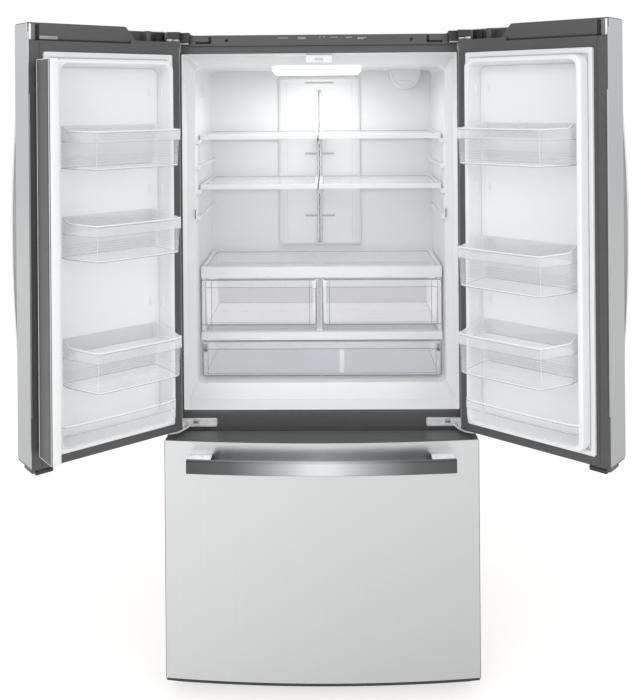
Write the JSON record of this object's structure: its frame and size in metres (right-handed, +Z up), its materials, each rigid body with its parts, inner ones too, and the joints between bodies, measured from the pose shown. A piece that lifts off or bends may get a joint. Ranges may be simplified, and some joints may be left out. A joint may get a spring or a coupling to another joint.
{
  "type": "french door refrigerator",
  "caption": "French door refrigerator with doors standing open, glass shelves, crispers, a wide drawer, door bins, a folding mullion and a bottom freezer drawer.",
  "frame": {"origin": "on the floor, at the centre of the bounding box of the refrigerator with both doors standing open", "axes": "+Z up, +Y towards the back, +X to the right seen from the front"},
  "size_m": [1.5448, 0.993, 1.768],
  "materials": {
    "stainless": "brushed satin",
    "dark_steel": "dark brushed",
    "dark_plastic": "satin dark grey",
    "black_plastic": "matte black",
    "grey_paint": "textured grey paint",
    "white_plastic": "glossy white",
    "clear_plastic": "clear moulded",
    "glass": "tempered clear glass",
    "galvanised": "galvanised",
    "gasket": "soft vinyl",
    "mullion_face": "satin dark grey",
    "lamp": "white diffuser"
  },
  "bodies": {
    "cabinet": {"cabinet_wrapper": "grey_paint", "rear_panel": "galvanised", "base_grille": "dark_plastic", "front_frame": "dark_plastic", "control_strip": "dark_plastic", "fresh_food_liner": "white_plastic", "freezer_liner": "white_plastic", "ceiling_light_cover": "lamp", "air_duct_panel": "white_plastic", "water_filter_housing": "white_plastic", "front_leg_left": "black_plastic", "front_leg_right": "black_plastic", "top_hinge_left": "galvanised", "top_hinge_right": "galvanised", "hinge_cover_left": "black_plastic", "hinge_cover_right": "black_plastic", "lower_hinge_left": "galvanised", "lower_hinge_right": "galvanised", "shelf_trim_upper_left": "white_plastic", "shelf_trim_upper_right": "white_plastic", "shelf_trim_middle_left": "white_plastic", "shelf_trim_middle_right": "white_plastic", "shelf_glass_upper_left": "glass", "shelf_glass_upper_right": "glass", "shelf_glass_middle_left": "glass", "shelf_glass_middle_right": "glass", "crisper_cover_frame": "white_plastic", "crisper_cover_glass": "glass", "drawer_cover_frame": "white_plastic", "drawer_cover_glass": "glass"},
    "left_door": {"door_left_skin": "stainless", "door_left_frame": "dark_plastic", "door_left_gasket": "gasket", "door_left_liner": "white_plastic", "door_left_bin_upper": "clear_plastic", "door_left_bin_middle": "clear_plastic", "door_left_bin_lower": "clear_plastic", "door_left_bottom_dam": "clear_plastic", "door_left_handle": "stainless"},
    "right_door": {"door_right_skin": "stainless", "door_right_frame": "dark_plastic", "door_right_gasket": "gasket", "door_right_liner": "white_plastic", "door_right_bin_upper": "clear_plastic", "door_right_bin_middle": "clear_plastic", "door_right_bin_lower": "clear_plastic", "door_right_bottom_dam": "clear_plastic", "door_right_handle": "stainless"},
    "mullion": {"mullion_flipper": "mullion_face"},
    "left_crisper": {"crisper_left": "clear_plastic"},
    "right_crisper": {"crisper_right": "clear_plastic"},
    "wide_drawer": {"wide_drawer": "clear_plastic", "wide_drawer_divider": "white_plastic"},
    "freezer_drawer": {"freezer_skin": "stainless", "freezer_cap": "dark_plastic", "freezer_gasket": "gasket", "freezer_inner_panel": "white_plastic", "freezer_handle": "dark_steel", "freezer_basket": "white_plastic"},
    "rear_rollers": {"rear_roller_set": "black_plastic"}
  },
  "joints": [
    {"name": "door_left_hinge", "type": "hinge", "parent": "cabinet", "child": "left_door", "pos_m": [-0.4023, -0.159, 1.2], "axis": [0, 0, -1], "range_deg": [-140.4, 9.6]},
    {"name": "door_right_hinge", "type": "hinge", "parent": "cabinet", "child": "right_door", "pos_m": [0.4023, -0.159, 1.2], "axis": [0, 0, 1], "range_deg": [-140.4, 9.6]},
    {"name": "mullion_fold", "type": "hinge", "parent": "left_door", "child": "mullion", "pos_m": [-0.65637, -0.43862, 1.2], "axis": [0, 0, 1], "range_deg": [-90, 0]},
    {"name": "crisper_left_slide", "type": "slide", "parent": "cabinet", "child": "left_crisper", "axis": [0, -1, 0], "range_m": [0, 0.28]},
    {"name": "crisper_right_slide", "type": "slide", "parent": "cabinet", "child": "right_crisper", "axis": [0, -1, 0], "range_m": [0, 0.28]},
    {"name": "wide_drawer_slide", "type": "slide", "parent": "cabinet", "child": "wide_drawer", "axis": [0, -1, 0], "range_m": [0, 0.28]},
    {"name": "freezer_drawer_slide", "type": "slide", "parent": "cabinet", "child": "freezer_drawer", "axis": [0, -1, 0], "range_m": [0, 0.36]},
    {"name": "rear_roller_spin", "type": "hinge", "parent": "cabinet", "child": "rear_rollers", "pos_m": [0, 0.433, 0.016], "axis": [1, 0, 0], "continuous": true}
  ]
}
